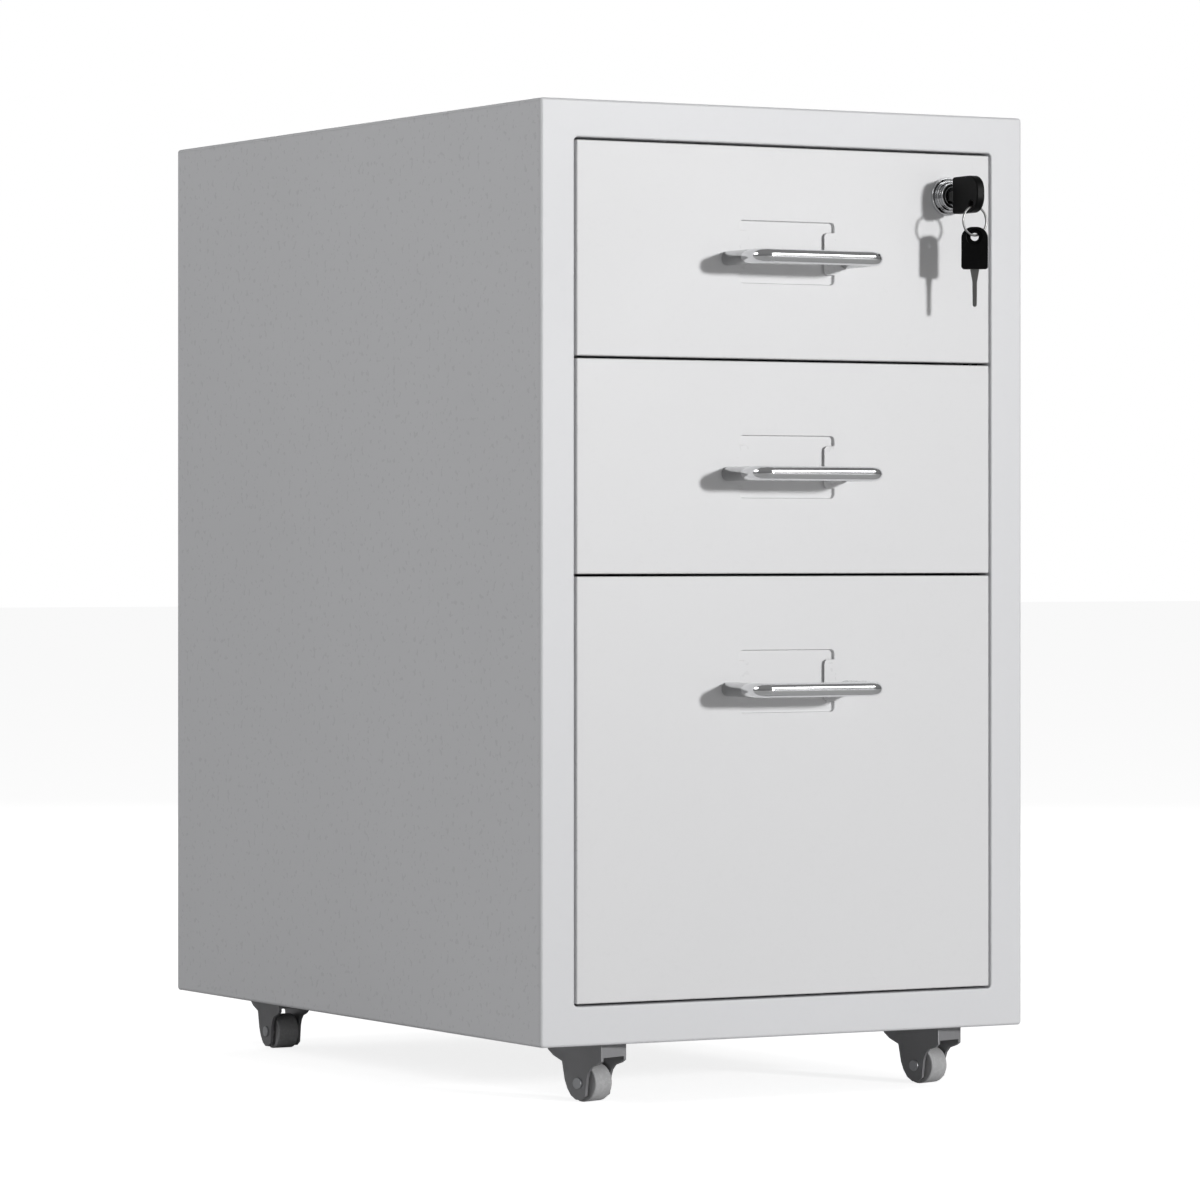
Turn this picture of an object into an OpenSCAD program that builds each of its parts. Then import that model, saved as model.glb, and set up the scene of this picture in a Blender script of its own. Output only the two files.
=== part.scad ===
// Three-drawer mobile pedestal in sheet steel: two box drawers over a file drawer.
// +X is right, +Y is back and +Z is up. The drawers face -Y, and the floor is at z = 0.

/* [Casing] */
// Width of the casing
casing_w = 390; // [370:5:420]
// Depth of the casing
casing_d = 580; // [575:5:640]
// Height of the casing without its casters
casing_h = 645; // [630:5:700]
// Gap between the casing and the floor
floor_gap = 42; // [41:0.5:50]
// Thickness of the casing's sheet steel
sheet = 1; // [0.8:0.1:1.1]
// Width of the front rim at both sides and the top
rim_w = 26; // [25:0.5:28]
// Width of the front rim at the bottom
rim_low = 27; // [26:0.5:30]
// How far the rim turns in behind its opening
rim_turn = 18; // [12:1:18]
// Corner radius of the rim's opening
rim_r = 3; // [1:0.5:5]

/* [Drawers] */
// Gap round each drawer front
gap = 1.75; // [1.5:0.25:3]
// Height of a box drawer's front
box_front_h = 147; // [142:0.5:150]
// Thickness of a drawer front, from its face to its back plate
pan_d = 18; // [17:0.5:18]
// Length of the drawer trays and their slides
tray_len = 500; // [450:10:500]
// Wall height of a box drawer's tray
box_tray_h = 88; // [80:1:88]
// Wall height of the file drawer's tray
file_tray_h = 240; // [200:5:260]

/* [Handles] */
// Distance between the two handle screws
handle_pitch = 96; // [90:1:128]
// How far a handle stands out from its drawer front
handle_reach = 49.5; // [47.5:0.5:56]
// Diameter of the handle's rod
rod_d = 10; // [8:0.5:12]
// Drop from a drawer front's top edge to its handle
handle_drop = 78; // [70:0.5:90]

/* [Card pockets] */
// Width of the pressed card pocket
pocket_w = 77; // [60:1:80]
// Height of the pressed card pocket
pocket_h = 43.5; // [35:0.5:50]
// Depth of the pressed card pocket
pocket_d = 2.5; // [2:0.5:5]
// Drop from a drawer front's top edge to the pocket's middle
pocket_drop = 73; // [60:1:80]

/* [Lock] */
// Distance from the top drawer front's right edge to the lock
lock_inset = 35.5; // [33:0.5:50]
// Drop from the top drawer front's top edge to the lock
lock_drop = 30; // [28:0.5:32]
// Diameter of the lock's collar
collar_d = 27; // [25:0.5:28]

/* [Casters] */
// Distance from the casing's sides to each swivel axis
caster_in_x = 58; // [50:0.5:70]
// Distance from the casing's front and back to each swivel axis
caster_in_y = 51; // [45:1:70]
// Diameter of a caster wheel
wheel_d = 26; // [24:0.5:27]
// Width of a caster wheel's tread
wheel_w = 16.5; // [8:0.5:18]

/* [Hidden] */
$fn = 48;

// Casing, with the origin under the middle of the whole object, handles included
front_y = -(casing_d - handle_reach) / 2;
back_y = front_y + casing_d;
low_z = floor_gap;
top_z = low_z + casing_h;
side_x = casing_w / 2;
base_z = low_z + 8;
open_w = casing_w - 2 * rim_w;
open_low = low_z + rim_low;
open_top = top_z - rim_w;
hem = 12;

// Drawers, from the top one down
drawers = [0 : 2];
front_w = open_w - 2 * gap;
file_front_h = open_top - open_low - 4 * gap - 2 * box_front_h;
front_h = [box_front_h, box_front_h, file_front_h];
tray_h = [box_tray_h, box_tray_h, file_tray_h];
front_top = [for (i = drawers) open_top - gap - i * (box_front_h + gap)];
front_low = [for (i = drawers) front_top[i] - front_h[i]];
tray_low = [for (i = drawers) front_low[i] + 10];
rail_z = [for (i = drawers) tray_low[i] + 31];
tray_y = front_y + pan_d;
tray_wall = 1;

// Slides: each is three members nested between the tray and the casing's posts
rail_x = open_w / 2;
slide_t = 13;
tray_x = rail_x - slide_t;
rail_y = tray_y + 2;
member_t = 1.2;
outer_hh = 22.8;
middle_hh = 18.2;
inner_hh = 13.6;
post_w = 40;
post_t = 1.2;
post_ys = [front_y + 47, front_y + 460];
rail_screw_d = 4;

// Handles and card pockets
bend_r = 8;
screw_d = 4;
lip_w = 8;
lip_h = pocket_h - 14;

// Lock: sizes along its axis are measured outwards from the drawer's face
lock_x = front_w / 2 - lock_inset;
lock_z = front_top[0] - lock_drop;
barrel_d = 18.4;
plug_d = 12.9;
plug_bore_d = 13;
plug_out = 7.7;
barrel_back = pan_d + 1.5;
cam_t = 2;
cam_y = barrel_back + 0.5;
pin_r = 6;
pin_d = 4;
pin_turn = 45;
blade_t = 2.2;
blade_w = 6.4;
blade_in = 14.5;
way_gap = 0.2;

// Lock bar: a lug on it stands over each drawer's stud, and drops in front of it to lock
stud_z = [for (i = drawers) rail_z[i] + 31];
stud_d = 6;
stud_len = 11;
bar_x = rail_x + 2;
bar_t = 1.5;
bar_y = front_y + 24.5;
bar_w = 9;
bar_rise = pin_r * sin(pin_turn);
lug_h = 10;
lug_t = 2;
stud_y = bar_y + bar_w + 1 + stud_d / 2;
guide_h = 24;
guide_zs = [stud_z[1] + 60, stud_z[2] + 90];

// Keys: heads are moulded, and the spare's is thin round its hole for the ring
head_len = 32;
head_w = 26;
head_t = 6.4;
head_out = 12;
web_t = 1.8;
web_r = 5.8;
hole_r = 2.8;
hole_out = head_out + 24;
hole_drop = 7.4;
ring_r = 10.2;
wire_d = 1.6;
ring_drop = hole_drop + 1.3 + ring_r;
ring_yaw = 5;
spare_len = 29.5;
spare_w = 18.5;
spare_top = 6.9;
spare_yaw = -36;
spare_drop = ring_drop + ring_r + 1;
blade_len = 26.4;

// Casters
caster_x = side_x - caster_in_x;
caster_ys = [front_y + caster_in_y, back_y - caster_in_y];
axle_z = wheel_d / 2;
trail = 10.5;
hub_w = 19.5;
hub_d = 10;
fork_w = 25.4;
fork_t = 2.4;
fork_top = low_z - 1.5;
web_back = -18;
web_front = 32.5;
lip_drop = 9;
kingpin_d = 8;
axle_d = 5;
caster_at = [for (y = caster_ys) for (x = [-caster_x, caster_x]) [x, y]];
caster_yaw = [198, 198, 180, 165];

// Colours
white_paint = [0.86, 0.87, 0.87];
zinc = [0.72, 0.73, 0.75];
chrome = [0.83, 0.84, 0.86];
black = [0.08, 0.08, 0.09];
wheel_grey = [0.45, 0.46, 0.47];

module rounded_rect(w, h, r) {
    square([w - 2 * r, h], center = true);
    square([w, h - 2 * r], center = true);
    for (x = [-1, 1], y = [-1, 1]) translate([x * (w / 2 - r), y * (h / 2 - r)]) circle(r = r);
}

// Stands an outline drawn in X and Z up, and draws it out along Y
module along_y(y0, len) translate([0, y0 + len, 0]) rotate([90, 0, 0]) linear_extrude(len) children();

module both_sides() {
    children();
    mirror([1, 0, 0]) children();
}

// Puts a shape that is drawn round +Z on the lock's axis, with +Z out of the drawer's face
module at_lock() translate([lock_x, front_y, lock_z]) rotate([90, 0, 0]) children();

module side_panel() color(white_paint) {
    translate([side_x - sheet, front_y + sheet, low_z]) cube([sheet, casing_d - sheet, casing_h - sheet]);
    translate([side_x - hem, front_y + sheet, low_z]) cube([hem, casing_d - 2 * sheet, sheet]);
}

module top_panel() color(white_paint) translate([-side_x, front_y + sheet, top_z - sheet])
    cube([casing_w, casing_d - sheet, sheet]);

module back_panel() color(white_paint) translate([sheet - side_x, back_y - sheet, low_z])
    cube([casing_w - 2 * sheet, sheet, casing_h - sheet]);

module base_panel() color(white_paint) difference() {
    translate([sheet - side_x, front_y + sheet, base_z])
        cube([casing_w - 2 * sheet, casing_d - 2 * sheet, sheet]);
    caster_bolt_holes();
}

module front_frame() color(white_paint) {
    mid_z = (open_top + open_low) / 2;
    open_h = open_top - open_low;
    along_y(front_y, sheet) difference() {
        translate([-side_x, low_z]) square([casing_w, casing_h]);
        translate([0, mid_z]) rounded_rect(open_w, open_h, rim_r);
    }
    along_y(front_y, rim_turn) translate([0, mid_z]) difference() {
        rounded_rect(open_w + 2 * sheet, open_h + 2 * sheet, rim_r + sheet);
        rounded_rect(open_w, open_h, rim_r);
    }
}

// One upright: a channel that is open towards the casing's side
module post(y) translate([0, y, base_z + sheet]) difference() {
    translate([rail_x, 0, 0]) cube([side_x - sheet - rail_x, post_w, top_z - base_z - 2 * sheet]);
    translate([rail_x + post_t, post_t, -1]) cube([side_x - rail_x, post_w - 2 * post_t, casing_h]);
}

module rail_screw_holes(d) for (y = post_ys, i = drawers)
    translate([rail_x - member_t - 1, y + post_w / 2, rail_z[i]]) rotate([0, 90, 0]) cylinder(d = d, h = 9);

module slide_posts() color(zinc) both_sides() difference() {
    for (y = post_ys) post(y);
    rail_screw_holes(rail_screw_d + 0.3);
}

module rail_screws() color(zinc) both_sides() for (y = post_ys, i = drawers)
    translate([rail_x - member_t, y + post_w / 2, rail_z[i]]) rotate([0, 90, 0]) {
        cylinder(d = rail_screw_d, h = 8);
        translate([0, 0, -0.9]) cylinder(d = 8, h = 0.9);
    }

module cabinet_rails(i) color(zinc) both_sides() difference() {
    along_y(rail_y, tray_len) translate([0, rail_z[i]]) difference() {
        translate([rail_x - 8.4, -outer_hh]) square([8.4, 2 * outer_hh]);
        translate([rail_x - 9, member_t - outer_hh]) square([9 - member_t, 2 * (outer_hh - member_t)]);
    }
    rail_screw_holes(rail_screw_d + 0.3);
}

module middle_rails(i) color(zinc) both_sides() along_y(rail_y, tray_len) translate([0, rail_z[i]]) {
    translate([tray_x + 6.2, -middle_hh]) square([member_t, 2 * middle_hh]);
    for (z = [-middle_hh, middle_hh - member_t]) translate([tray_x + 2.9, z]) square([7.7, member_t]);
}

module drawer_rails(i) color(zinc) both_sides() along_y(rail_y, tray_len) translate([0, rail_z[i]]) {
    translate([tray_x, -inner_hh]) square([member_t, 2 * inner_hh]);
    for (z = [-inner_hh, inner_hh - member_t]) translate([tray_x, z]) square([5.2, member_t]);
}

module handle_holes(i, d) for (x = [-1, 1])
    translate([x * handle_pitch / 2, front_y + pan_d, front_top[i] - handle_drop])
        rotate([90, 0, 0]) cylinder(d = d, h = pan_d + 1);

// A folded pan with the card pocket pressed into it, and two flush lips that hold the card
module drawer_front(i) color(white_paint) {
    mid_z = front_top[i] - front_h[i] / 2;
    pocket_z = front_top[i] - pocket_drop;
    difference() {
        union() {
            along_y(front_y, pan_d) translate([0, mid_z]) difference() {
                square([front_w, front_h[i]], center = true);
                square([front_w - 2 * sheet, front_h[i] - 2 * sheet], center = true);
            }
            along_y(front_y, sheet) translate([0, mid_z]) square([front_w, front_h[i]], center = true);
            along_y(front_y, pocket_d + sheet) translate([0, pocket_z])
                rounded_rect(pocket_w + 2 * sheet, pocket_h + 2 * sheet, 3 + sheet);
        }
        along_y(front_y - 1, pocket_d + 1) translate([0, pocket_z]) rounded_rect(pocket_w, pocket_h, 3);
        handle_holes(i, screw_d + 0.4);
        if (i == 0) at_lock() translate([0, 0, -pan_d]) cylinder(d = barrel_d + 0.2, h = pan_d + 1);
    }
    for (s = [-1, 1]) translate([s * (pocket_w - lip_w) / 2, front_y + sheet / 2, pocket_z])
        cube([lip_w, sheet, lip_h], center = true);
}

module drawer_tray(i) color(white_paint) difference() {
    union() {
        translate([-tray_x, tray_y, tray_low[i]]) cube([2 * tray_x, tray_len, tray_h[i]]);
        translate([sheet - front_w / 2, tray_y - tray_wall, front_low[i] + sheet])
            cube([front_w - 2 * sheet, tray_wall, front_h[i] - 2 * sheet]);
    }
    translate([tray_wall - tray_x, tray_y, tray_low[i] + tray_wall])
        cube([2 * (tray_x - tray_wall), tray_len - tray_wall, tray_h[i]]);
    if (i == 0) at_lock() translate([0, 0, -pan_d - 1]) cylinder(d = barrel_d + 0.2, h = 3);
}

// A rod bent to a D: two legs, two bends and a straight grip
module handle(i) color(chrome) translate([0, front_y, front_top[i] - handle_drop]) {
    leg = handle_reach - rod_d / 2 - bend_r;
    grip_y = -(handle_reach - rod_d / 2);
    both_sides() {
        difference() {
            translate([handle_pitch / 2, 0, 0]) rotate([90, 0, 0]) cylinder(d = rod_d, h = leg);
            translate([handle_pitch / 2, 1, 0]) rotate([90, 0, 0]) cylinder(d = screw_d + 0.2, h = 13);
        }
        translate([handle_pitch / 2 - bend_r, -leg, 0]) mirror([0, 1, 0]) rotate_extrude(angle = 90)
            translate([bend_r, 0]) circle(d = rod_d);
    }
    translate([bend_r - handle_pitch / 2, grip_y, 0]) rotate([0, 90, 0])
        cylinder(d = rod_d, h = handle_pitch - 2 * bend_r);
}

module handle_screws(i) color(zinc) for (x = [-1, 1])
    translate([x * handle_pitch / 2, front_y + sheet, front_top[i] - handle_drop]) rotate([90, 0, 0]) {
        cylinder(d = screw_d, h = 12);
        translate([0, 0, -2.5]) cylinder(d = 8, h = 2.5);
    }

module lock_stud(i) color(zinc) translate([tray_x, stud_y, stud_z[i]]) rotate([0, 90, 0])
    cylinder(d = stud_d, h = stud_len);

// Two strips along the file drawer's walls that hanging files hook over
module file_bars() color(zinc) both_sides()
    translate([tray_x - tray_wall - 2.5, tray_y + 10, tray_low[2] + file_tray_h - 12])
        cube([2.5, tray_len - 20, 16]);

module lock_housing() color(chrome) at_lock() difference() {
    union() {
        translate([0, 0, -barrel_back]) cylinder(d = barrel_d, h = barrel_back + 1);
        cylinder(d = collar_d, h = 2.5);
        cylinder(d = 21.6, h = 5);
        cylinder(d = 18, h = 8);
    }
    translate([0, 0, -barrel_back - 1]) cylinder(d = plug_bore_d, h = barrel_back + 10);
}

module lock_nut() color(zinc) at_lock() translate([0, 0, -sheet - 4]) difference() {
    cylinder(d = 27, h = 4, $fn = 6);
    translate([0, 0, -1]) cylinder(d = barrel_d + 0.2, h = 6);
}

module lock_plug() color(chrome) at_lock() difference() {
    translate([0, 0, -cam_y]) cylinder(d = plug_d, h = cam_y + plug_out);
    translate([-blade_t / 2 - way_gap, -blade_w / 2 - way_gap, -blade_in - 0.5])
        cube([blade_t + 2 * way_gap, blade_w + 2 * way_gap, blade_in + plug_out + 1]);
    translate([0, 0, -cam_y - 1]) cylinder(d = screw_d + 0.2, h = 4.5);
}

module lock_cam() color(zinc) at_lock() translate([0, 0, -cam_y - cam_t]) difference() {
    union() {
        cylinder(d = 18, h = cam_t);
        rotate(pin_turn) translate([pin_r, 0, -7.5]) cylinder(d = pin_d, h = 8);
    }
    translate([0, 0, -1]) cylinder(d = screw_d + 0.2, h = cam_t + 2);
}

module cam_screw() color(zinc) at_lock() translate([0, 0, -cam_y - cam_t]) {
    cylinder(d = screw_d, h = cam_t + 3);
    translate([0, 0, -1.8]) cylinder(d = 6.4, h = 1.8);
}

// A strip behind the front rim, with an arm over the top drawer's tray to the cam's pin.
// The lugs are flush with the strip's back edge, so nothing of it is over a stud.
module lock_bar() color(zinc) {
    bar_low = stud_z[2] - 16;
    arm_z = lock_z + bar_rise;
    translate([bar_x, bar_y, bar_low]) cube([bar_t, bar_w, arm_z + 9 - bar_low]);
    difference() {
        translate([lock_x - 8, bar_y, arm_z - 9]) cube([bar_x + bar_t - lock_x + 8, bar_t, 18]);
        translate([lock_x + pin_r * 0.7 - 3.2, bar_y - 1, arm_z - pin_d / 2 - 0.5])
            cube([pin_d + 5, bar_t + 2, pin_d + 1]);
    }
    for (i = drawers) translate([tray_x + 3.5, bar_y + bar_w - lug_t, stud_z[i] + stud_d / 2 + 1.2])
        cube([bar_x - tray_x - 3.5, lug_t, lug_h]);
}

// Two moulded guides on the casing's right side that the lock bar slides in
module bar_guides() color(black) for (z = guide_zs) translate([0, 0, z]) difference() {
    translate([bar_x - 1.5, bar_y - 4, 0]) cube([side_x - sheet - bar_x + 1.5, bar_w + 8, guide_h]);
    translate([bar_x - 0.5, bar_y - 0.5, -1]) cube([bar_t + 1, bar_w + 1, guide_h + 2]);
    translate([bar_x - 2, bar_y + 2, -1]) cube([2, bar_w - 4, guide_h + 2]);
}

module key_blade() color(chrome) at_lock() translate([-blade_t / 2, -blade_w / 2, -blade_in])
    cube([blade_t, blade_w, blade_in + head_out + 2.5]);

// A head outline of length len, drawn from its shoulder at x = 0
module head_outline(len, w) {
    r = w * 0.42;
    translate([2, -w / 2]) square([len - r - 2, w]);
    translate([0, 2 - w / 2]) square([len - r, w - 4]);
    for (y = [-1, 1]) translate([2, y * (w / 2 - 2)]) circle(r = 2);
    translate([len - r, r - w / 2]) square([r, w - 2 * r]);
    for (y = [-1, 1]) translate([len - r, y * (w / 2 - r)]) circle(r = r);
}

// A moulded head in the X-Y plane, with its ring hole at [x, y] from the shoulder's middle
module moulded_head(len, w, hole, thinned) difference() {
    translate([0, 0, -head_t / 2]) linear_extrude(head_t) head_outline(len, w);
    translate([hole[0], hole[1], -head_t]) cylinder(r = hole_r, h = 2 * head_t);
    if (thinned) for (z = [web_t / 2, -web_t / 2 - head_t]) translate([hole[0], hole[1], z])
        cylinder(r = web_r, h = head_t);
    translate([-1, -blade_w / 2, -blade_t / 2]) cube([3.5, blade_w, blade_t]);
}

module key_head() color(black) at_lock() translate([0, 0, head_out]) rotate([90, 0, 90]) rotate(90)
    moulded_head(head_len, head_w, [hole_out - head_out, hole_drop], false);

module at_ring_hole() translate([lock_x, front_y - hole_out, lock_z]) children();

module key_ring() color(chrome) at_ring_hole() translate([0, 0, -ring_drop]) rotate(ring_yaw)
    rotate([90, 0, 0]) rotate_extrude() translate([ring_r, 0]) circle(d = wire_d);

// Puts a shape that is drawn in X and Y, with Y up, at the bottom of the spare key's head
module at_spare() at_ring_hole() translate([0, 0, spare_top - spare_drop - spare_len])
    rotate(spare_yaw) rotate([90, 0, 0]) children();

module spare_head() color(black) at_spare() rotate(90)
    moulded_head(spare_len, spare_w, [spare_len - spare_top, 0], true);

module spare_blade() color(chrome) at_spare() translate([0, 0, -blade_t / 2]) linear_extrude(blade_t) {
    translate([-blade_w / 2, -0.1]) square([blade_w, 2.6]);
    polygon([[-blade_w / 2, 0], [blade_w / 2, 0], [1.6, -9], [1.4, 1.4 - blade_len], [-1.4, 1.4 - blade_len],
        [-1.6, -9]]);
    translate([0, 1.4 - blade_len]) circle(r = 1.4);
}

module caster_bolt_holes() for (p = caster_at, x = [-1, 1], y = [-1, 1])
    translate([p[0] + x * 19, p[1] + y * 19, base_z - 10]) cylinder(d = 5.4, h = 20);

module caster_plates() color(zinc) difference() {
    for (p = caster_at) translate([p[0], p[1], 0]) {
        translate([0, 0, base_z - 2.5]) linear_extrude(2.5) rounded_rect(50, 50, 6);
        translate([0, 0, fork_top + 0.6]) cylinder(d = 28, h = base_z - 2.5 - fork_top - 0.6);
    }
    caster_bolt_holes();
    for (p = caster_at) translate([p[0], p[1], 0]) cylinder(d = kingpin_d, h = base_z + 1);
}

module caster_kingpins() color(zinc) for (p = caster_at) translate([p[0], p[1], 0]) {
    translate([0, 0, fork_top - fork_t - 3.3]) cylinder(d = 13, h = 3);
    translate([0, 0, fork_top - fork_t - 1]) cylinder(d = kingpin_d, h = base_z - fork_top + fork_t + 1);
}

module caster_bolts() color(zinc) for (p = caster_at, x = [-1, 1], y = [-1, 1])
    translate([p[0] + x * 19, p[1] + y * 19, 0]) {
        translate([0, 0, base_z - 4.5]) cylinder(d = 8.5, h = 2, $fn = 6);
        translate([0, 0, base_z - 3]) cylinder(d = 5, h = 3 + sheet + 1);
        translate([0, 0, base_z + sheet]) cylinder(d = 9, h = 2.6);
    }

// Turns a caster's piece about its swivel axis to where it stands
module at_caster(i) translate([caster_at[i][0], caster_at[i][1], 0]) rotate(caster_yaw[i]) children();

// A pressed fork: a web under the plate, a lip down its front, and two cheeks that flare in to the axle
module caster_fork(i) color(black) at_caster(i) difference() {
    union() {
        translate([-fork_w / 2, web_back, fork_top - fork_t]) cube([fork_w, web_front - web_back, fork_t]);
        translate([-fork_w / 2, web_front - fork_t, fork_top - lip_drop]) cube([fork_w, fork_t, lip_drop]);
        for (x = [-fork_w / 2, fork_w / 2 - fork_t]) translate([x, 0, 0]) rotate([90, 0, 90])
            linear_extrude(fork_t) polygon([[web_back, fork_top], [web_back, 35], [-12.8, 31], [-4.5, 27.4],
                [-2, 15], [0.5, 9], [4, 4.2], [8.5, 1.6], [13, 1.6], [17.5, 4.6], [19, 17], [20.5, 21.5],
                [23.5, 25], [29.5, 27], [web_front, 29], [web_front, fork_top]]);
    }
    translate([-fork_w, trail, axle_z]) rotate([0, 90, 0]) cylinder(d = axle_d, h = 2 * fork_w);
    cylinder(d = kingpin_d + 0.1, h = fork_top + 1);
}

module caster_wheel(i) color(wheel_grey) at_caster(i) translate([0, trail, axle_z]) rotate([0, 90, 0])
    difference() {
        union() {
            cylinder(d = wheel_d, h = wheel_w, center = true);
            cylinder(d = hub_d, h = hub_w, center = true);
        }
        cylinder(d = axle_d + 0.1, h = hub_w + 2, center = true);
    }

module caster_axle(i) color(zinc) at_caster(i) translate([-fork_w / 2 - 1.2, trail, axle_z])
    rotate([0, 90, 0]) {
        cylinder(d = axle_d, h = fork_w + 2.4);
        for (x = [0, fork_w + 1.2]) translate([0, 0, x]) cylinder(d = 8, h = 1.2);
    }

mirror([1, 0, 0]) side_panel();  // side_panel_left
side_panel();  // side_panel_right
top_panel();
back_panel();
base_panel();
front_frame();
slide_posts();
rail_screws();
bar_guides();
caster_plates();
caster_kingpins();
caster_bolts();
file_bars();
lock_housing();
lock_nut();
lock_plug();
lock_cam();
cam_screw();
lock_bar();
key_blade();
key_head();
key_ring();
spare_blade();
spare_head();
for (i = drawers) {
    cabinet_rails(i);
    middle_rails(i);
    drawer_rails(i);
    drawer_front(i);
    drawer_tray(i);
    handle(i);
    handle_screws(i);
    lock_stud(i);
}
for (i = [0 : 3]) {
    caster_fork(i);
    caster_wheel(i);
    caster_axle(i);
}
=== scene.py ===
import math
import bmesh
import bpy
import numpy as np
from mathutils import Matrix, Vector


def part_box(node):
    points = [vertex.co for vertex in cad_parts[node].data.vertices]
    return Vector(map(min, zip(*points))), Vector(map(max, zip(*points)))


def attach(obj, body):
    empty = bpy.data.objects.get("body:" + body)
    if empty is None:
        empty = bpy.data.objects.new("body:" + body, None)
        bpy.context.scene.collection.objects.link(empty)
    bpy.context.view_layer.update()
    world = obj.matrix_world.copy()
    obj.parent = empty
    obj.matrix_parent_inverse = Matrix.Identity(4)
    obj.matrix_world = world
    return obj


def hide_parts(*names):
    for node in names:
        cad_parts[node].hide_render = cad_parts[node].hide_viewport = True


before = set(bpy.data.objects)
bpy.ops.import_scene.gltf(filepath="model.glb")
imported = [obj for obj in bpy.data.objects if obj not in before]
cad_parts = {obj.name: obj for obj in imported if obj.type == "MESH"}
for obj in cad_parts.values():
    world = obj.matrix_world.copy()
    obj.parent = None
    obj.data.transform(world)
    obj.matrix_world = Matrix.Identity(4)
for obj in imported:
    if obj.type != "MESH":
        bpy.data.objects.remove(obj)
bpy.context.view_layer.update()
print("frame loaded")

# places taken from the frame, in metres
frameLow, frameHigh = (np.array(corner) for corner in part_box("front_frame"))
frontY = frameLow[1]
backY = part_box("back_panel")[1][1]
sideX, lowZ, topZ = frameHigh[0], frameLow[2], frameHigh[2]
drawerNumbers = (1, 2, 3)
frontBoxes = [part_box(f"drawer_front_{n}") for n in drawerNumbers]
gap = frontBoxes[0][0][2] - frontBoxes[1][1][2]
openLow, openHigh = frontBoxes[2][0][2] - gap, frontBoxes[0][1][2] + gap
openHalf = frontBoxes[0][1][0] + gap
lockX = sum(corner[0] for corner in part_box("lock_housing")) / 2
lockZ = sum(corner[2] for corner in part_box("lock_housing")) / 2


# ---------- camera, light and floor ----------
view = {"lens": 168.4, "sensor": 36, "turn": -29.31, "drop": -0.0426, "x": -2.0224, "back": 3.3368, "up": 0.3386}


def makeCamera():
    cam = bpy.data.cameras.new("camera")
    cam.lens, cam.sensor_width, cam.shift_y = view["lens"], view["sensor"], view["drop"]
    cam.clip_end = 60
    seen = bpy.data.objects.new("camera", cam)
    seen.location = (view["x"], frontY - view["back"], lowZ + view["up"])
    seen.rotation_euler = (math.radians(90), 0, math.radians(view["turn"]))
    bpy.context.scene.collection.objects.link(seen)
    bpy.context.scene.camera = seen


studio = {"keyPower": 305, "keySize": 0.57, "keySide": 23.5, "keyUp": 8.7, "keyAway": 7.5, "ambient": 0.20,
          "fillPower": 20, "fillSize": 1.5, "fillPlace": (-2.6, -0.15, 1.9), "backdrop": 1.0, "floorShade": 0.62,
          "floorGlow": 0.82, "backPower": 20, "backSize": 1.6, "backPlace": (1.7, 3.0, 1.9),
          "softPower": 14, "softWide": 1.6, "softTall": 0.8, "softPlace": (1.5, frontY - 2.0, 1.9),
          "lowSky": (0.62, 0.62, 0.63, 1), "highSky": (1.0, 1.0, 1.0, 1), "skyFrom": 0.30, "skyTo": 0.85,
          "floorReach": 30, "floorRough": 0.9}


def areaLight(name, power, size, place, target, shape="DISK", sizeY=None):
    lamp = bpy.data.lights.new(name, "AREA")
    lamp.energy, lamp.size, lamp.shape = power, size, shape
    if sizeY:
        lamp.size_y = sizeY
    light = bpy.data.objects.new(name, lamp)
    light.location = place
    aim = np.array(target) - np.array(place)
    light.rotation_euler = (math.acos(-aim[2] / np.linalg.norm(aim)), 0, math.atan2(aim[1], aim[0]) - math.pi / 2)
    bpy.context.scene.collection.objects.link(light)
    return light


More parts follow.
